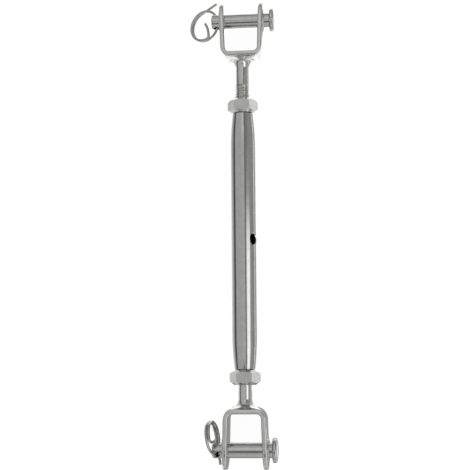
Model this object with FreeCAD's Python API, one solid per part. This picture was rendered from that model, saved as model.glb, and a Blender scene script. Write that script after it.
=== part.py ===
import FreeCAD, Part
import math
import os

# Rigging screw with a closed tube body, a fork at each end and a locknut on each stud.
# The long axis is Y, the clevis pins run along X and the jaws' edges rest at the lowest Z.
# The origin is the middle of the barrel, on its axis. Lengths are millimetres.

# Thread shared by the barrel, the studs and the locknuts
thread_diameter = 5.9
thread_pitch = 1.0
thread_running_clearance = 0.05
thread_depth_factor = 0.6134

# Barrel: a tube drawn down at both ends, with a tommy bar hole at its middle
barrel_length = 97.2
barrel_diameter = 9.5
barrel_end_diameter = 7.9
barrel_taper_length = 13.5
barrel_bore_diameter = 6.5
barrel_tapped_length = 14.0
barrel_edge_chamfer = 0.4
tommy_hole_diameter = 3.9
tommy_hole_turn = 59.0
tommy_countersink_depth = 0.65

# Locknuts
nut_across_flats = 10.0
nut_height = 5.5
nut_chamfer_angle = 38.0
nut_chamfer_circle = 8.2
nut_countersink = 0.35

# Forks: jaw, eye and neck
jaw_gap = 12.9
jaw_base_gap = 12.1
jaw_depth = 13.3
ear_thickness = 1.8
ear_width = 12.5
ear_reach = 6.95
base_thickness = 2.6
base_outer_radius = 4.8
base_inner_radius = 1.6
base_side_radius = 1.8
base_bell_slope = 4.0
fork_edge_radius = 0.55
boss_diameter = 9.0
boss_height = 0.4
boss_edge_radius = 0.2
flare_diameter = 9.6
flare_length = 3.5
shank_diameter = 5.0
shank_length = 9.5
stud_reach = 56.0
lower_neck_exposed = 8.0
upper_neck_exposed = 15.1

# Clevis pins
pin_diameter = 5.6
pin_length = 22.3
pin_running_clearance = 0.08
pin_end_chamfer = 0.4
head_diameter = 9.1
head_thickness = 1.75
head_rim_radius = 0.7
head_dome = 0.4
cross_hole_diameter = 2.3
cross_hole_from_end = 1.9
upper_head_gap = 2.0
lower_head_gap = 1.25

# Split rings
ring_wire_diameter = 1.0
ring_outer_diameter = 12.9
ring_coil_gap = 0.08
ring_coil_angle = 533.0
ring_tongue_bend_radius = 1.0
ring_tongue_bend_angle = 74.0
ring_tongue_radius = 9.5
ring_tongue_length = 5.6

# How each ring hangs: turn of its cross-hole about the pin, swing about the hole, lean in the
# hole, angle of coil before the hole, straight tail, and which face of the coil looks outwards
upper_hole_turn = -102.0
upper_ring_swing = 63.0
upper_ring_lean = 7.0
upper_ring_lead = 251.3
upper_ring_tail = 7.7
upper_ring_face = 1
lower_hole_turn = 31.0
lower_ring_swing = 13.9
lower_ring_lean = 7.0
lower_ring_lead = 295.0
lower_ring_tail = 11.0
lower_ring_face = -1

# Sizes that follow from the ones above
thread_radius = thread_diameter / 2
shank_radius = shank_diameter / 2
thread_depth = thread_depth_factor * thread_pitch
barrel_half = barrel_length / 2
jaw_half = jaw_gap / 2
ear_outer = jaw_half + ear_thickness
boss_outer = ear_outer + boss_height
base_outer = jaw_depth + base_thickness
ring_radius = (ring_outer_diameter - ring_wire_diameter) / 2
ring_pitch = ring_wire_diameter + ring_coil_gap

# Distances of the pin axes from the barrel's middle
nut_outer = barrel_half + nut_height
upper_pin_y = nut_outer + upper_neck_exposed + base_outer
lower_pin_y = -(nut_outer + lower_neck_exposed + base_outer)

# Small allowance by which a cutting tool stands past the face that it cuts
cut_over = 1.0

along_x = FreeCAD.Vector(1, 0, 0)
along_y = FreeCAD.Vector(0, 1, 0)
along_z = FreeCAD.Vector(0, 0, 1)
middle = FreeCAD.Vector(0, 0, 0)


def at(x, y, z):
    return FreeCAD.Vector(x, y, z)


def cylinder(radius, length, start, direction):
    return Part.makeCylinder(radius, length, start, direction)


def turned(points):
    """Solid of revolution about the Y axis: points are (distance along, radius)."""
    corners = [at(radius, along, 0) for along, radius in points]
    outline = Part.makePolygon(corners + [corners[0]])
    return Part.Face(outline).revolve(middle, along_y, 360)


def tangentArc(start, through, end):
    return Part.Arc(start, through, end).toShape()


def makeBarrel():
    """Tube whose ends are drawn down along a long arc that leaves the body smoothly."""
    half = barrel_half
    body_radius = barrel_diameter / 2
    end_radius = barrel_end_diameter / 2
    chamfer = barrel_edge_chamfer
    drop = body_radius - end_radius
    draw_length = barrel_taper_length - chamfer
    draw_radius = (draw_length ** 2 + drop ** 2) / (2 * drop)
    draw_start = half - barrel_taper_length
    midway = draw_length / 2
    midway_drop = draw_radius - math.sqrt(draw_radius ** 2 - midway ** 2)
    edges = []
    for side in (-1, 1):
        chamfer_start = at(end_radius, side * (half - chamfer), 0)
        chamfer_end = at(end_radius - chamfer, side * half, 0)
        draw_middle = at(body_radius - midway_drop, side * (draw_start + midway), 0)
        edges.append(Part.makeLine(at(0, side * half, 0), chamfer_end))
        edges.append(Part.makeLine(chamfer_end, chamfer_start))
        edges.append(tangentArc(chamfer_start, draw_middle, at(body_radius, side * draw_start, 0)))
    edges.append(Part.makeLine(at(body_radius, -draw_start, 0), at(body_radius, draw_start, 0)))
    edges.append(Part.makeLine(at(0, -half, 0), at(0, half, 0)))
    outline = Part.Wire(Part.__sortEdges__(edges))
    body = Part.Face(outline).revolve(middle, along_y, 360)
    core = cylinder(barrel_bore_diameter / 2, barrel_length, at(0, -half, 0), along_y)
    for side in (-1, 1):
        core = core.cut(tappedEnd(side))
    tapped_radius = thread_radius + thread_running_clearance
    body = body.cut(core)
    body = body.cut(cylinder(tapped_radius, barrel_length + 2 * cut_over,
                             at(0, -half - cut_over, 0), along_y))
    for side in (-1, 1):
        mouth_radius = tapped_radius + chamfer
        mouth = Part.makeCone(tapped_radius, mouth_radius + cut_over, chamfer + cut_over,
                              at(0, side * (half - chamfer), 0), at(0, side, 0))
        body = body.cut(mouth)
    return body.cut(tommyHole())


def tappedEnd(side):
    """Thicker wall at one end of the tube, where the thread is cut."""
    radius = barrel_bore_diameter / 2 + cut_over
    length = barrel_tapped_length + cut_over
    start = side * (barrel_half - barrel_tapped_length)
    return cylinder(radius, length, at(0, start, 0), at(0, side, 0))


def tommyHole():
    """Hole through both walls, countersunk outside, turned away from straight up."""
    turn = math.radians(tommy_hole_turn)
    direction = at(math.sin(turn), 0, math.cos(turn))
    radius = tommy_hole_diameter / 2
    reach = barrel_diameter / 2 + cut_over
    hole = cylinder(radius, 2 * reach, direction * -reach, direction)
    sink_start = barrel_diameter / 2 - tommy_countersink_depth
    sink_length = tommy_countersink_depth + cut_over
    for side in (-1, 1):
        sink = Part.makeCone(radius, radius + sink_length, sink_length,
                             direction * (side * sink_start), direction * side)
        hole = hole.fuse(sink)
    return hole


def makeLocknut(inner_y, side):
    """Hexagon nut with both faces chamfered; one flat faces up."""
    corner_radius = nut_across_flats / math.sqrt(3)
    corners = []
    for corner in range(7):
        angle = math.radians(60 * corner)
        corners.append(at(corner_radius * math.cos(angle), 0, corner_radius * math.sin(angle)))
    prism = Part.Face(Part.makePolygon(corners)).extrude(at(0, nut_height, 0))
    slope = math.tan(math.radians(nut_chamfer_angle))
    face_radius = nut_chamfer_circle / 2
    drop = (corner_radius + cut_over - face_radius) * slope
    wide_radius = corner_radius + cut_over
    envelope = turned([
        (0, 0),
        (0, face_radius),
        (drop, wide_radius),
        (nut_height - drop, wide_radius),
        (nut_height, face_radius),
        (nut_height, 0),
    ])
    nut = prism.common(envelope)
    bore_radius = thread_radius + thread_running_clearance
    nut = nut.cut(cylinder(bore_radius, nut_height + 2 * cut_over, at(0, -cut_over, 0), along_y))
    sink_length = nut_countersink + cut_over
    for start, way in ((nut_countersink, -1), (nut_height - nut_countersink, 1)):
        sink = Part.makeCone(bore_radius, bore_radius + sink_length, sink_length,
                             at(0, start, 0), at(0, way, 0))
        nut = nut.cut(sink)
    if side < 0:
        nut.rotate(middle, along_z, 180)
    nut.translate(at(0, inner_y, 0))
    return nut


def strapProfile():
    """Bent strap seen from the front: ears that open slightly, joined by a round-cornered base."""
    outer = slab(jawHalfAt(-base_outer) + ear_thickness, -base_outer,
                 jawHalfAt(ear_reach) + ear_thickness, ear_reach, ear_width)
    outer = outer.makeFillet(base_outer_radius, edgesAlongZ(outer, -base_outer))
    mouth = ear_reach + cut_over
    inner = slab(jawHalfAt(-jaw_depth), -jaw_depth, jawHalfAt(mouth), mouth,
                 ear_width + 2 * cut_over)
    inner = inner.makeFillet(base_inner_radius, edgesAlongZ(inner, -jaw_depth))
    return outer.cut(inner)


def jawHalfAt(y):
    """Half the clear width between the ears at a distance from the pin's axis."""
    opening = (jaw_gap - jaw_base_gap) / 2 / jaw_depth
    return jaw_half + opening * y


def slab(low_half, low_y, high_half, high_y, width):
    """Solid with a symmetrical four-sided front and a constant width along Z."""
    corners = [
        at(-low_half, low_y, -width / 2),
        at(low_half, low_y, -width / 2),
        at(high_half, high_y, -width / 2),
        at(-high_half, high_y, -width / 2),
    ]
    return Part.Face(Part.makePolygon(corners + [corners[0]])).extrude(at(0, 0, width))


def edgesAlongZ(shape, y):
    """Edges parallel to Z at one height of the fork."""
    chosen = []
    for edge in shape.Edges:
        ends = [vertex.Point for vertex in edge.Vertexes]
        if len(ends) < 2 or abs(edge.CenterOfMass.y - y) > 1e-6:
            continue
        if abs(ends[0].x - ends[1].x) < 1e-6 and abs(ends[0].y - ends[1].y) < 1e-6:
            chosen.append(edge)
    return chosen


def eyeProfile():
    """Strap seen from the side: straight edges, a round eye and softened base corners."""
    half = ear_width / 2
    eye_middle = ear_reach - half
    base = -base_outer
    corner = base_side_radius
    drawn = corner * (1 - math.sqrt(0.5))
    edges = [
        Part.makeLine(at(0, base + corner, -half), at(0, eye_middle, -half)),
        tangentArc(at(0, eye_middle, -half), at(0, ear_reach, 0), at(0, eye_middle, half)),
        Part.makeLine(at(0, eye_middle, half), at(0, base + corner, half)),
        tangentArc(at(0, base + corner, half), at(0, base + drawn, half - drawn),
                   at(0, base, half - corner)),
        Part.makeLine(at(0, base, half - corner), at(0, base, -half + corner)),
        tangentArc(at(0, base, -half + corner), at(0, base + drawn, -half + drawn),
                   at(0, base + corner, -half)),
    ]
    side = Part.Face(Part.Wire(edges))
    reach = boss_outer + cut_over
    side.translate(at(-reach, 0, 0))
    return side.extrude(at(2 * reach, 0, 0))


def baseBell():
    """Cone that trims the base's four outer corners down to the flare."""
    radius = flare_diameter / 2
    height = base_outer + ear_reach
    return Part.makeCone(radius, radius + height * base_bell_slope, height, at(0, -base_outer, 0), along_y)


def neckAndStud():
    """Hollow flare, plain shank and threaded stud under the base."""
    root = -base_outer
    flare_radius = flare_diameter / 2
    stud_end = root - stud_reach
    shank_end = root - shank_length
    flare_end = root - flare_length
    bend = math.sqrt(0.5)
    flare_middle = at(flare_radius - (flare_radius - shank_radius) * bend,
                      root - flare_length * (1 - bend), 0)
    inside = root + base_thickness / 2
    edges = [
        Part.makeLine(at(0, inside, 0), at(flare_radius, inside, 0)),
        Part.makeLine(at(flare_radius, inside, 0), at(flare_radius, root, 0)),
        tangentArc(at(flare_radius, root, 0), flare_middle, at(shank_radius, flare_end, 0)),
    ]
    corners = [
        at(shank_radius, flare_end, 0),
        at(shank_radius, shank_end, 0),
        at(thread_radius, shank_end - (thread_radius - shank_radius), 0),
        at(thread_radius, stud_end + thread_depth, 0),
        at(thread_radius - thread_depth, stud_end, 0),
        at(0, stud_end, 0),
        at(0, inside, 0),
    ]
    for start, end in zip(corners, corners[1:]):
        edges.append(Part.makeLine(start, end))
    return Part.Face(Part.Wire(edges)).revolve(middle, along_y, 360)


def earBoss(side):
    """Low round boss on one ear's outer face."""
    depth = ear_thickness / 2
    boss = cylinder(boss_diameter / 2, boss_height + depth,
                    at(side * (ear_outer - depth), 0, 0), at(side, 0, 0))
    rim = [edge for edge in boss.Edges if abs(abs(edge.CenterOfMass.x) - boss_outer) < 1e-6]
    return boss.makeFillet(boss_edge_radius, rim)


def makeFork(pin_y, side):
    """One forged piece; side is +1 when the jaw opens towards +Y."""
    strap = strapProfile().common(eyeProfile())
    strap = strap.makeFillet(fork_edge_radius, strap.Edges).common(baseBell())
    fork = strap.fuse(neckAndStud())
    for ear in (-1, 1):
        fork = fork.fuse(earBoss(ear))
    hole_radius = pin_diameter / 2 + pin_running_clearance
    reach = boss_outer + cut_over
    fork = fork.cut(cylinder(hole_radius, 2 * reach, at(-reach, 0, 0), along_x))
    if side < 0:
        fork.rotate(middle, along_z, 180)
    fork.translate(at(0, pin_y, 0))
    return fork


def makeClevisPin(pin_y, head_x, hole_turn):
    """Headed pin along X with a cross-hole near its free end."""
    radius = pin_diameter / 2
    head_radius = head_diameter / 2
    end_x = head_x - pin_length
    chamfer = pin_end_chamfer
    rim = head_rim_radius
    face_x = head_x + head_thickness
    bend = rim * (1 - math.sqrt(0.5))
    edges = []
    corners = [
        at(face_x + head_dome, 0, 0),
        at(end_x, 0, 0),
        at(end_x, radius - chamfer, 0),
        at(end_x + chamfer, radius, 0),
        at(head_x, radius, 0),
        at(head_x, head_radius - rim, 0),
    ]
    for start, end in zip(corners, corners[1:]):
        edges.append(Part.makeLine(start, end))
    edges.append(tangentArc(at(head_x, head_radius - rim, 0),
                            at(head_x + bend, head_radius - bend, 0),
                            at(head_x + rim, head_radius, 0)))
    edges.append(Part.makeLine(at(head_x + rim, head_radius, 0), at(face_x - rim, head_radius, 0)))
    edges.append(tangentArc(at(face_x - rim, head_radius, 0),
                            at(face_x - bend, head_radius - bend, 0),
                            at(face_x, head_radius - rim, 0)))
    dome_edge = head_radius - rim
    dome_radius = (dome_edge ** 2 + head_dome ** 2) / (2 * head_dome)
    dome_drop = dome_radius - math.sqrt(dome_radius ** 2 - (dome_edge / 2) ** 2)
    edges.append(tangentArc(at(face_x, dome_edge, 0),
                            at(face_x + head_dome - dome_drop, dome_edge / 2, 0),
                            at(face_x + head_dome, 0, 0)))
    pin = Part.Face(Part.Wire(edges)).revolve(middle, along_x, 360)
    reach = radius + cut_over
    hole = cylinder(cross_hole_diameter / 2, 2 * reach,
                    at(end_x + cross_hole_from_end, 0, -reach), along_z)
    hole.rotate(middle, along_x, hole_turn)
    pin = pin.cut(hole)
    pin.translate(at(0, pin_y, 0))
    return pin


def ringPath(lead, tail_length):
    """Wire's centre line: straight tail, coil and inward tongue, coiled about Z.

    The wire passes the cross-hole at angle 0 of the coil, after the lead angle."""
    coil_end = ring_coil_angle - lead
    height = ring_pitch * ring_coil_angle / 360
    coil = Part.makeHelix(ring_pitch, height, ring_radius)
    coil.rotate(middle, along_z, -lead)
    coil.translate(at(0, 0, -ring_pitch * lead / 360))
    start = coilPoint(-lead)
    tail = Part.makeLine(start - coilDirection(-lead) * tail_length, start)
    end = coilPoint(coil_end)
    bend, bend_end, bend_way = inwardArc(end, coilDirection(coil_end), ring_tongue_bend_radius,
                                         ring_tongue_bend_angle)
    tongue_angle = math.degrees(ring_tongue_length / ring_tongue_radius)
    tongue = inwardArc(bend_end, bend_way, ring_tongue_radius, tongue_angle)[0]
    return Part.Wire([tail] + coil.Edges + [bend, tongue])


def coilPoint(angle):
    """Point of the coil's centre line at an angle counted from the cross-hole."""
    turn = math.radians(angle)
    return at(ring_radius * math.cos(turn), ring_radius * math.sin(turn), ring_pitch * angle / 360)


def coilDirection(angle):
    turn = math.radians(angle)
    slope = ring_pitch / (2 * math.pi * ring_radius)
    return at(-math.sin(turn), math.cos(turn), slope).normalize()


def inwardArc(start, way, radius, angle):
    """Arc that turns left of its starting direction; also its end point and end direction."""
    left = at(-way.y, way.x, 0).normalize()
    points = []
    for share in (0.5, 1.0):
        turn = math.radians(angle * share)
        points.append(start + way * (radius * math.sin(turn)) + left * (radius * (1 - math.cos(turn))))
    end_way = way * math.cos(turn) + left * math.sin(turn)
    return tangentArc(start, points[0], points[1]), points[1], end_way


def makeSplitRing(pin_y, head_x, hole_turn, swing, lean, lead, tail_length, face):
    """Ring threaded through a pin's cross-hole and laid as it hangs there.

    The arc in the hole is centred in it, half its rise to each side."""
    path = ringPath(lead, tail_length)
    way = coilDirection(-lead)
    section = Part.Wire(Part.makeCircle(ring_wire_diameter / 2, coilPoint(-lead) - way * tail_length, way))
    ring = path.makePipeShell([section], True, True)
    pin_radius = pin_diameter / 2
    arc_rise = ring_radius - math.sqrt(ring_radius ** 2 - pin_radius ** 2)
    ring.translate(at(arc_rise / 2 - ring_radius, 0, 0))
    ring.rotate(middle, along_x, face * 90 + lean)
    ring.rotate(middle, along_z, swing - 90)
    ring.rotate(middle, along_x, hole_turn)
    ring.translate(at(head_x - pin_length + cross_hole_from_end, pin_y, 0))
    return ring


upper_head_x = boss_outer + upper_head_gap
lower_head_x = boss_outer + lower_head_gap

nodes = {
    "barrel": makeBarrel(),
    "upper_locknut": makeLocknut(barrel_half, 1),
    "lower_locknut": makeLocknut(-barrel_half, -1),
    "upper_fork": makeFork(upper_pin_y, 1),
    "lower_fork": makeFork(lower_pin_y, -1),
    "upper_clevis_pin": makeClevisPin(upper_pin_y, upper_head_x, upper_hole_turn),
    "lower_clevis_pin": makeClevisPin(lower_pin_y, lower_head_x, lower_hole_turn),
    "upper_split_ring": makeSplitRing(upper_pin_y, upper_head_x, upper_hole_turn,
                                      upper_ring_swing, upper_ring_lean,
                                      upper_ring_lead, upper_ring_tail, upper_ring_face),
    "lower_split_ring": makeSplitRing(lower_pin_y, lower_head_x, lower_hole_turn,
                                      lower_ring_swing, lower_ring_lean,
                                      lower_ring_lead, lower_ring_tail, lower_ring_face),
}

os.makedirs("parts", exist_ok=True)
for name, node in nodes.items():
    shape = node.Solids[0]
    shape.exportStep(os.path.join("parts", name + ".step"))
    box = shape.BoundBox
    print(name, shape.ShapeType, shape.isValid(), round(shape.Volume, 2),
          [round(value, 2) for value in (box.XMin, box.XMax, box.YMin, box.YMax, box.ZMin, box.ZMax)])
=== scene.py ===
import bpy
import bmesh
import math
from mathutils import Matrix, Vector


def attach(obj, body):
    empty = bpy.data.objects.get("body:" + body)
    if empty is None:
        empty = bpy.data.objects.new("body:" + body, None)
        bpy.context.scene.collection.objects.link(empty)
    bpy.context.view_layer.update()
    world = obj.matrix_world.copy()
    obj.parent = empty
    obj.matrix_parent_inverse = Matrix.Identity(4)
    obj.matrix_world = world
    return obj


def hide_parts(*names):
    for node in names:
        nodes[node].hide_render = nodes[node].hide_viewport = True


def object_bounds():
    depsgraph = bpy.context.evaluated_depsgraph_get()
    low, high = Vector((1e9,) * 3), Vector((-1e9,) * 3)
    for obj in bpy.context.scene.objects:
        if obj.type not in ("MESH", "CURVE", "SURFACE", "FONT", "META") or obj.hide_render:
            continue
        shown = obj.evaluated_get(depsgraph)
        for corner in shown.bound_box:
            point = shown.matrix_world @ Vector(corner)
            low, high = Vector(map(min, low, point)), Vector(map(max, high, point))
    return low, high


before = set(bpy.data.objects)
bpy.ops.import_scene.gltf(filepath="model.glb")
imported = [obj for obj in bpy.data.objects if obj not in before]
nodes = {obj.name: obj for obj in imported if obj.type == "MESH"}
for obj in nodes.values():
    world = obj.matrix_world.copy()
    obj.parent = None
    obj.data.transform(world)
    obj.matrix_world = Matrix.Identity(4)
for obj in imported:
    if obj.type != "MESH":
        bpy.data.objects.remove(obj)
cadBox = [list(corner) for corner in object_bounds()]
print("frame loaded:", sorted(nodes))

# Camera solved from the photograph, metres, and the roll that its horizon had
cameraSettings = {
    "place": (0.035573, -0.048132, 0.400299),
    "target": (-0.003367, 0.001959, 0.0),
    "focalLength": 82.244,
    "sensor": 36.0,
    "roll": -0.4626,
}


def makeCamera(settings):
    place = Vector(settings["place"])
    forward = (Vector(settings["target"]) - place).normalized()
    right = forward.cross(Vector((0, 1, 0))).normalized()
    up = right.cross(forward)
    roll = math.radians(settings["roll"])
    side = right * math.cos(roll) + up * math.sin(roll)
    top = up * math.cos(roll) - right * math.sin(roll)
    data = bpy.data.cameras.new("photoCamera")
    data.lens = settings["focalLength"]
    data.sensor_width = settings["sensor"]
    data.sensor_fit = "HORIZONTAL"
    data.clip_start = 0.01
    data.clip_end = 20.0
    camera = bpy.data.objects.new("photoCamera", data)
    camera.matrix_world = Matrix.Translation(place) @ Matrix((side, top, -forward)).transposed().to_4x4()
    bpy.context.scene.collection.objects.link(camera)
    bpy.context.scene.camera = camera


makeCamera(cameraSettings)
bpy.context.scene.view_settings.view_transform = "Standard"
print("camera placed")


def linearColour(hexText, alpha=1.0):
    values = [int(hexText[i:i + 2], 16) / 255 for i in (1, 3, 5)]
    return [v / 12.92 if v <= 0.04045 else ((v + 0.055) / 1.055) ** 2.4 for v in values] + [alpha]


# Adds one node: settings are its properties, inputs its socket values, links its sources
def addNode(tree, kind, inputs=None, links=None, **settings):
    node = tree.nodes.new(kind)
    for name, value in settings.items():
        setattr(node, name, value)
    for name, value in (inputs or {}).items():
        node.inputs[name].default_value = value
    for name, source in (links or {}).items():
        tree.links.new(source, node.inputs[name])
    return node


def setRamp(node, stops):
    ramp = node.color_ramp
    while len(ramp.elements) > 2:
        ramp.elements.remove(ramp.elements[-1])
    for element, (position, colour) in zip(ramp.elements, stops[:2]):
        element.position = position
        element.color = colour
    for position, colour in stops[2:]:
        ramp.elements.new(position).color = colour


# Polished 316 stainless steel: bright neutral grey mirror, its blur differs a little from piece to piece
finishes = {
    "polishedTube": {"colour": "#cececd", "dull": "#c4c4c3", "roughness": 0.12, "roughSpread": 0.05,
                     "grain": (1600.0, 30.0, 1600.0), "bump": 0.04, "waves": 60.0, "waveBump": 0.008},
    "tumbledForging": {"colour": "#dcdcda", "dull": "#cccbca", "roughness": 0.17, "roughSpread": 0.08,
                       "grain": (500.0, 500.0, 500.0), "bump": 0.07, "waves": 190.0, "waveBump": 0.07},
    "turnedPin": {"colour": "#cccccb", "dull": "#bebebd", "roughness": 0.10, "roughSpread": 0.05,
                  "grain": (2400.0, 60.0, 60.0), "bump": 0.04, "waves": 120.0, "waveBump": 0.015},
    "milledNut": {"colour": "#d0d0ce", "dull": "#c4c4c2", "roughness": 0.17, "roughSpread": 0.06,
                  "grain": (260.0, 1500.0, 260.0), "bump": 0.05, "waves": 160.0, "waveBump": 0.03},
    "springWire": {"colour": "#c6c6c5", "dull": "#b2b2b1", "roughness": 0.15, "roughSpread": 0.08,
                   "grain": (900.0, 900.0, 900.0), "bump": 0.05, "waves": 300.0, "waveBump": 0.05},
}

# Nothing polishes the tube's bore: inside this radius, metres, it is drawn and dull, with a little oil,
# and its colour is painted near-black as the shade inside the bore and the tommy bar hole.
# The tommy bar hole cuts deeper at mid length, so the radius of dull surface and painted shade is larger
# by wallDeep within holeHalf
paintedBoreShade = {"shadedDullWithin": 0.0034, "shadeEndsFrom": 0.0037, "wallDeep": 0.0007, "holeHalf": 0.0024,
                "colour": "#1b1b1a", "roughness": 0.62}


def makeSteel(name, settings):
    material = bpy.data.materials.new(name)
    material.use_nodes = True
    tree = material.node_tree
    tree.nodes.clear()
    place = addNode(tree, "ShaderNodeTexCoord")
    grainPlace = addNode(tree, "ShaderNodeMapping", {"Scale": settings["grain"]},
                         {"Vector": place.outputs["Object"]})
    grain = addNode(tree, "ShaderNodeTexNoise", {"Scale": 1.0, "Detail": 4.0, "Roughness": 0.6},
                    {"Vector": grainPlace.outputs[0]})
    waves = addNode(tree, "ShaderNodeTexNoise", {"Scale": settings["waves"], "Detail": 2.0},
                    {"Vector": place.outputs["Object"]})
    handling = addNode(tree, "ShaderNodeTexNoise", {"Scale": 420.0, "Detail": 6.0, "Roughness": 0.65},
                       {"Vector": place.outputs["Object"]})
    colour = addNode(tree, "ShaderNodeValToRGB", links={"Fac": handling.outputs["Fac"]})
    setRamp(colour, [(0.30, linearColour(settings["dull"])), (0.62, linearColour(settings["colour"]))])
    low = settings["roughness"] - settings["roughSpread"] / 2
    rough = addNode(tree, "ShaderNodeMapRange", {"From Min": 0.3, "From Max": 0.7, "To Min": low,
                                                 "To Max": low + settings["roughSpread"]},
                    {"Value": grain.outputs["Fac"]})
    broad = addNode(tree, "ShaderNodeBump", {"Strength": settings["waveBump"], "Distance": 0.001},
                    {"Height": waves.outputs["Fac"]})
    fine = addNode(tree, "ShaderNodeBump", {"Strength": settings["bump"], "Distance": 0.0001},
                   {"Height": grain.outputs["Fac"], "Normal": broad.outputs["Normal"]})
    tone, blur = colour.outputs["Color"], rough.outputs["Result"]
    # The tube's bore and tommy bar hole get painted shade in their colour, and a duller blur
    if name == "polishedTube":
        tone, blur = paintBoreShade(tree, place.outputs["Object"], tone, blur)
    steel = addNode(tree, "ShaderNodeBsdfPrincipled", {"Metallic": 1.0},
                    {"Base Color": tone, "Roughness": blur, "Normal": fine.outputs["Normal"]})
    addNode(tree, "ShaderNodeOutputMaterial", links={"Surface": steel.outputs["BSDF"]})
    return material


# Colour and blur of a tube whose inside is dull and painted dark as shade, told apart by the distance
# from its own axis
def paintBoreShade(tree, place, tone, blur):
    flat = addNode(tree, "ShaderNodeVectorMath", {1: (1.0, 0.0, 1.0)}, {0: place}, operation="MULTIPLY")
    away = addNode(tree, "ShaderNodeVectorMath", links={0: flat.outputs[0]}, operation="LENGTH")
    along = addNode(tree, "ShaderNodeSeparateXYZ", links={"Vector": place})
    middle = addNode(tree, "ShaderNodeMath", links={0: along.outputs["Y"]}, operation="ABSOLUTE")
    half = paintedBoreShade["holeHalf"]
    deeper = addNode(tree, "ShaderNodeMapRange", {"From Min": half, "From Max": half * 1.4,
                                                  "To Min": paintedBoreShade["wallDeep"], "To Max": 0.0},
                     {"Value": middle.outputs[0]})
    depth = addNode(tree, "ShaderNodeMath", links={0: away.outputs["Value"], 1: deeper.outputs["Result"]},
                    operation="SUBTRACT")
    outside = addNode(tree, "ShaderNodeMapRange", {"From Min": paintedBoreShade["shadedDullWithin"],
                                                   "From Max": paintedBoreShade["shadeEndsFrom"]},
                      {"Value": depth.outputs[0]}).outputs["Result"]
    # Near-black painted shade mixed into the colour inside the bore
    tones = addNode(tree, "ShaderNodeMix", {6: linearColour(paintedBoreShade["colour"])},
                    {0: outside, 7: tone}, data_type="RGBA")
    blurs = addNode(tree, "ShaderNodeMix", {2: paintedBoreShade["roughness"]}, {0: outside, 3: blur})
    return tones.outputs[2], blurs.outputs[0]


steels = {name: makeSteel(name, settings) for name, settings in finishes.items()}
print("steels made:", sorted(steels))

finishOf = {
    "barrel": "polishedTube",
    "upper_locknut": "milledNut",
    "lower_locknut": "milledNut",
    "upper_clevis_pin": "turnedPin",
    "lower_clevis_pin": "turnedPin",
    "upper_split_ring": "springWire",
    "lower_split_ring": "springWire",
}
for node, finish in finishOf.items():
    for slot in nodes[node].material_slots:
        slot.material = steels[finish]
print("nodes given their finish")

# Studs: M6 thread, right-hand on the upper fork and left-hand on the lower one
studSettings = {
    "pitch": 0.001,
    "crestRadius": 0.00295,
    "depth": 0.00061,
    "shankRadius": 0.0025,
    "runOut": 0.0012,
    "rowsPerTurn": 10,
    "segments": 72,
}


# Node tree that winds a grid into a thread: rows follow the helix, so crests and roots stay sharp
def threadTree():
    tree = bpy.data.node_groups.new("windThread", "GeometryNodeTree")
    face = tree.interface
    face.new_socket("Geometry", in_out="OUTPUT", socket_type="NodeSocketGeometry")
    sockets = (("Pitch", "Float", 0.001), ("Crest Radius", "Float", 0.003), ("Depth", "Float", 0.0006),
               ("Shank Radius", "Float", 0.0025), ("Run Out", "Float", 0.001), ("Turns", "Float", 40.0),
               ("Hand", "Float", 1.0), ("Rows", "Int", 10), ("Segments", "Int", 72),
               ("Steel", "Material", None))
    for name, kind, value in sockets:
        socket = face.new_socket(name, in_out="INPUT", socket_type="NodeSocket" + kind)
        if value is not None:
            socket.default_value = value
    given = addNode(tree, "NodeGroupInput").outputs

    def maths(operation, first, second=None, third=None):
        node = tree.nodes.new("ShaderNodeMath")
        node.operation = operation
        for index, value in enumerate((first, second, third)):
            if value is None:
                continue
            if isinstance(value, (int, float)):
                node.inputs[index].default_value = value
            else:
                tree.links.new(value, node.inputs[index])
        return node.outputs[0]

    rows = maths("MULTIPLY", given["Turns"], given["Rows"])
    sheet = addNode(tree, "GeometryNodeMeshGrid", links={
        "Size X": given["Turns"], "Vertices X": maths("ADD", rows, 1.0),
        "Vertices Y": maths("ADD", given["Segments"], 1.0)})
    sheet.inputs["Size Y"].default_value = 1.0
    here = addNode(tree, "GeometryNodeInputPosition")
    parts = addNode(tree, "ShaderNodeSeparateXYZ", links={"Vector": here.outputs[0]})
    turn = maths("ADD", parts.outputs["X"], maths("MULTIPLY", given["Turns"], 0.5))
    around = maths("ADD", parts.outputs["Y"], 0.5)
    phase = maths("FRACT", maths("ADD", turn, 0.0001))
    away = maths("MULTIPLY", maths("ABSOLUTE", maths("SUBTRACT", phase, 0.5)), 2.0)
    flank = maths("SMOOTH_MIN", maths("MULTIPLY", away, 1.25), 1.0, 0.18)
    advance = maths("ADD", turn, around)
    length = maths("MULTIPLY", advance, given["Pitch"])
    fade = maths("MINIMUM", maths("DIVIDE", length, given["Run Out"]), 1.0)
    ridge = maths("SUBTRACT", given["Crest Radius"], maths("MULTIPLY", given["Depth"], flank))
    start = maths("SUBTRACT", given["Shank Radius"], 0.00004)
    radius = maths("ADD", start, maths("MULTIPLY", maths("SUBTRACT", ridge, start), fade))
    angle = maths("MULTIPLY", maths("MULTIPLY", around, 2 * math.pi), given["Hand"])
    spot = addNode(tree, "ShaderNodeCombineXYZ", links={
        "X": maths("MULTIPLY", radius, maths("COSINE", angle)), "Y": length,
        "Z": maths("MULTIPLY", radius, maths("SINE", angle))})
    wound = addNode(tree, "GeometryNodeSetPosition", links={"Geometry": sheet.outputs["Mesh"],
                                                            "Position": spot.outputs[0]})
    closed = addNode(tree, "GeometryNodeMergeByDistance", {"Distance": 0.00001},
                     {"Geometry": wound.outputs[0]})
    smooth = addNode(tree, "GeometryNodeSetShadeSmooth", links={"Geometry": closed.outputs[0]})
    real = addNode(tree, "GeometryNodeRealizeInstances", links={"Geometry": smooth.outputs[0]})
    dressed = addNode(tree, "GeometryNodeSetMaterial", links={"Geometry": real.outputs[0],
                                                              "Material": given["Steel"]})
    addNode(tree, "NodeGroupOutput", links={"Geometry": dressed.outputs[0]})
    return tree


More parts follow.
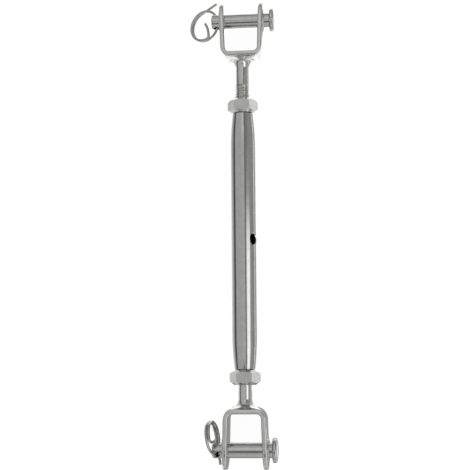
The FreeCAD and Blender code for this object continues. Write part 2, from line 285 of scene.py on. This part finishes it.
# Runs a tree with its inputs and keeps the result as a plain mesh
def bakeTree(name, tree, values):
    holder = bpy.data.objects.new(name, bpy.data.meshes.new(name))
    bpy.context.scene.collection.objects.link(holder)
    modifier = holder.modifiers.new("grow", "NODES")
    modifier.node_group = tree
    for item in tree.interface.items_tree:
        if item.in_out == "INPUT" and item.name in values:
            modifier[item.identifier] = values[item.name]
    evaluated = holder.evaluated_get(bpy.context.evaluated_depsgraph_get())
    mesh = bpy.data.meshes.new_from_object(evaluated)
    mesh.name = name
    holder.modifiers.remove(modifier)
    bpy.data.objects.remove(holder)
    return mesh


# Fork: the forging from the frame, its plain stud cut off at the shank and a real thread put there
def makeFork(name, node, hand, way):
    shape = bmesh.new()
    shape.from_mesh(nodes[node].data)
    bmesh.ops.remove_doubles(shape, verts=shape.verts, dist=1e-7)
    neck = studSettings["shankRadius"]
    ring = [v.co.y for v in shape.verts if abs(v.co.xz.length - neck) < 2e-6]
    shankEnd = min(ring) if way > 0 else max(ring)
    studEnd = (min if way > 0 else max)(v.co.y for v in shape.verts)
    gone = [f for f in shape.faces if (f.calc_center_median().y - shankEnd) * way < 0]
    bmesh.ops.delete(shape, geom=gone, context="FACES")
    steel = steels["tumbledForging"]
    length = abs(studEnd - shankEnd) + 0.0002
    turns = math.floor(length / studSettings["pitch"] * 10) / 10 - 1
    thread = bakeTree(name + "Thread", threads, {
        "Pitch": studSettings["pitch"], "Crest Radius": studSettings["crestRadius"],
        "Depth": studSettings["depth"], "Shank Radius": neck, "Run Out": studSettings["runOut"],
        "Turns": turns, "Hand": float(hand), "Rows": studSettings["rowsPerTurn"],
        "Segments": studSettings["segments"], "Steel": steel})
    winding = bmesh.new()
    winding.from_mesh(thread)
    for vertex in winding.verts:
        vertex.co.y = shankEnd + way * (0.0002 - vertex.co.y)
    capStud(winding, way)
    winding.to_mesh(thread)
    winding.free()
    mesh = bpy.data.meshes.new(name)
    shape.from_mesh(thread)
    shape.to_mesh(mesh)
    shape.free()
    mesh.materials.append(steel)
    for face in mesh.polygons:
        face.material_index = 0
        face.use_smooth = True
    mesh.set_sharp_from_angle(angle=math.radians(28))
    fork = bpy.data.objects.new(name, mesh)
    bpy.context.scene.collection.objects.link(fork)
    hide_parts(node)
    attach(fork, node)
    print(name, "thread from", round(shankEnd * 1000, 2), "to", round(studEnd * 1000, 2), "mm")
    return fork


# Closes the free end of the stud with a fan
def capStud(shape, way):
    bmesh.ops.recalc_face_normals(shape, faces=shape.faces)
    rim = [e for e in shape.edges if e.is_boundary]
    far = (min if way > 0 else max)(v.co.y for v in shape.verts)
    rim = [e for e in rim if all(abs(v.co.y - far) < 1.3 * studSettings["pitch"] for v in e.verts)]
    bmesh.ops.holes_fill(shape, edges=rim, sides=0)
    bmesh.ops.recalc_face_normals(shape, faces=shape.faces)


threads = threadTree()
makeFork("upperForkForging", "upper_fork", 1, 1)
makeFork("lowerForkForging", "lower_fork", -1, -1)
print("forks made")

# Floor just under the jaws: a lit white sweep, so that it stays pale and its shadows stay faint
floorSettings = {"half": 1.6, "colour": "#ffffff", "roughness": 0.9, "glow": 0.93, "matt": 0.12}


def makeFloor(settings):
    low = cadBox[0][2]
    half = settings["half"]
    mesh = bpy.data.meshes.new("paleFloor")
    mesh.from_pydata([(-half, -half, low), (half, -half, low), (half, half, low), (-half, half, low)],
                     [], [(0, 1, 2, 3)])
    material = bpy.data.materials.new("matPaper")
    material.use_nodes = True
    paper = material.node_tree.nodes["Principled BSDF"]
    tone = linearColour(settings["colour"])
    paper.inputs["Base Color"].default_value = [value * settings["matt"] for value in tone[:3]] + [1.0]
    paper.inputs["Roughness"].default_value = settings["roughness"]
    paper.inputs["Specular IOR Level"].default_value = 0.0
    paper.inputs["Emission Color"].default_value = tone
    paper.inputs["Emission Strength"].default_value = settings["glow"]
    mesh.materials.append(material)
    floor = bpy.data.objects.new("paleFloor", mesh)
    bpy.context.scene.collection.objects.link(floor)
    floor.visible_glossy = False


makeFloor(floorSettings)

# Light tent that the polished steel mirrors. Brightness by the angle round the long axis, degrees from
# straight up towards +X: panels, the dark gaps between them, and the bright sweep below the horizon
tentSettings = {
    "nearLower": [(-180, 1.35), (-165, 1.30), (-150, 1.0), (-138, 0.84), (-126, 0.84),
                  (-109, 0.50), (-97, 0.36), (-91, 0.05), (-81, 0.05), (-75, 0.42), (-68, 0.51),
                  (5, 0.53), (14, 0.53), (16, 0.16), (22, 0.16), (24, 0.60), (28, 0.80), (31, 1.50),
                  (54, 1.50), (59, 0.46), (93, 0.34), (108, 0.34), (111, 1.05), (119, 1.05),
                  (122, 0.28), (131, 0.28), (139, 0.75), (150, 1.0), (165, 1.30), (180, 1.35)],
    "nearUpper": [(-180, 1.4), (-155, 1.15), (-138, 0.80), (-126, 0.70), (-109, 0.46), (-97, 0.34),
                  (-91, 0.05), (-81, 0.05), (-75, 0.42), (-68, 0.51), (5, 0.53), (14, 0.53), (16, 0.13),
                  (22, 0.15), (25, 0.25), (48, 0.30), (70, 0.36), (86, 0.38), (93, 0.32), (108, 0.34),
                  (111, 1.12), (119, 1.12), (122, 0.28), (131, 0.28), (139, 0.80), (150, 1.1),
                  (180, 1.4)],
    "upperFrom": (0.110, 0.162),
    "across": [(-180, 1.70), (-156, 1.70), (-148, 0.90), (-130, 0.60), (-112, 0.50), (-100, 0.60),
               (-70, 0.64), (-55, 0.55), (-45, 0.46), (-25, 0.52), (-8, 0.58), (-3, 0.58), (0, 0.55),
               (14, 0.56), (20, 0.74), (38, 0.74), (46, 0.53), (76, 0.52), (86, 0.30), (92, 0.20),
               (103, 0.20), (108, 0.95), (124, 1.15), (150, 1.25), (160, 1.7), (180, 1.70)],
    "acrossWithin": (0.10, 0.20),
    "floorLight": 1.0,
}


def makeTent(settings):
    world = bpy.data.worlds.new("lightTent")
    bpy.context.scene.world = world
    world.use_nodes = True
    tree = world.node_tree
    tree.nodes.clear()
    way = addNode(tree, "ShaderNodeTexCoord")
    parts = addNode(tree, "ShaderNodeSeparateXYZ", links={"Vector": way.outputs["Generated"]}).outputs

    def panels(sideways, stops):
        turn = addNode(tree, "ShaderNodeMath", operation="ARCTAN2")
        tree.links.new(sideways, turn.inputs[0])
        tree.links.new(parts["Z"], turn.inputs[1])
        share = addNode(tree, "ShaderNodeMapRange", {"From Min": -math.pi, "From Max": math.pi},
                        {"Value": turn.outputs[0]})
        ramp = addNode(tree, "ShaderNodeValToRGB", links={"Fac": share.outputs["Result"]})
        setRamp(ramp, [((angle + 180) / 360, (light, light, light, 1.0)) for angle, light in stops])
        return ramp.outputs["Color"]

    def blend(amount, first, second):
        mix = addNode(tree, "ShaderNodeMix", data_type="RGBA")
        tree.links.new(amount, mix.inputs[0])
        tree.links.new(first, mix.inputs[6])
        tree.links.new(second, mix.inputs[7])
        return mix.outputs[2]

    low, high = settings["upperFrom"]
    upper = addNode(tree, "ShaderNodeMapRange", {"From Min": low, "From Max": high},
                    {"Value": parts["Y"]}, interpolation_type="SMOOTHSTEP")
    along = blend(upper.outputs["Result"], panels(parts["X"], settings["nearLower"]),
                  panels(parts["X"], settings["nearUpper"]))
    away = addNode(tree, "ShaderNodeMath", operation="ABSOLUTE")
    tree.links.new(parts["X"], away.inputs[0])
    inside, outside = settings["acrossWithin"]
    crossing = addNode(tree, "ShaderNodeMapRange", {"From Min": outside, "From Max": inside},
                       {"Value": away.outputs[0]}, interpolation_type="SMOOTHSTEP")
    walls = blend(crossing.outputs["Result"], along, panels(parts["Y"], settings["across"]))
    seen = addNode(tree, "ShaderNodeLightPath")
    mirrored = addNode(tree, "ShaderNodeBackground", links={"Color": walls})
    plain = addNode(tree, "ShaderNodeBackground", {"Color": (1, 1, 1, 1),
                                                   "Strength": settings["floorLight"]})
    both = addNode(tree, "ShaderNodeMixShader")
    tree.links.new(seen.outputs["Is Glossy Ray"], both.inputs[0])
    tree.links.new(plain.outputs[0], both.inputs[1])
    tree.links.new(mirrored.outputs[0], both.inputs[2])
    addNode(tree, "ShaderNodeOutputWorld", links={"Surface": both.outputs[0]})


makeTent(tentSettings)

# Cards seen only in the part's reflections: a dark one over it and a grey one below the lower jaw.
# Corners in metres, and how bright each one is
cardSettings = {
    "gapAcross": {"x": (-0.075, 0.02), "y": (-0.300, -0.140), "z": 0.427, "light": 0.06},
    "greyBelowJaw": {"x": (-0.019, 0.019), "y": (-0.118, -0.057), "z": -0.022, "light": 0.34},
}


def makeCard(name, settings):
    (left, right), (near, far), height = settings["x"], settings["y"], settings["z"]
    mesh = bpy.data.meshes.new(name)
    mesh.from_pydata([(left, near, height), (left, far, height), (right, far, height),
                      (right, near, height)], [], [(0, 1, 2, 3)])
    material = bpy.data.materials.new(name)
    material.use_nodes = True
    tree = material.node_tree
    tree.nodes.clear()
    glow = addNode(tree, "ShaderNodeEmission", {"Strength": settings["light"]})
    addNode(tree, "ShaderNodeOutputMaterial", links={"Surface": glow.outputs[0]})
    mesh.materials.append(material)
    card = bpy.data.objects.new(name, mesh)
    bpy.context.scene.collection.objects.link(card)
    card.visible_camera = False
    card.visible_diffuse = False
    card.visible_shadow = False
    card.visible_transmission = False


for name, settings in cardSettings.items():
    makeCard(name, settings)
print("floor, tent and cards made")
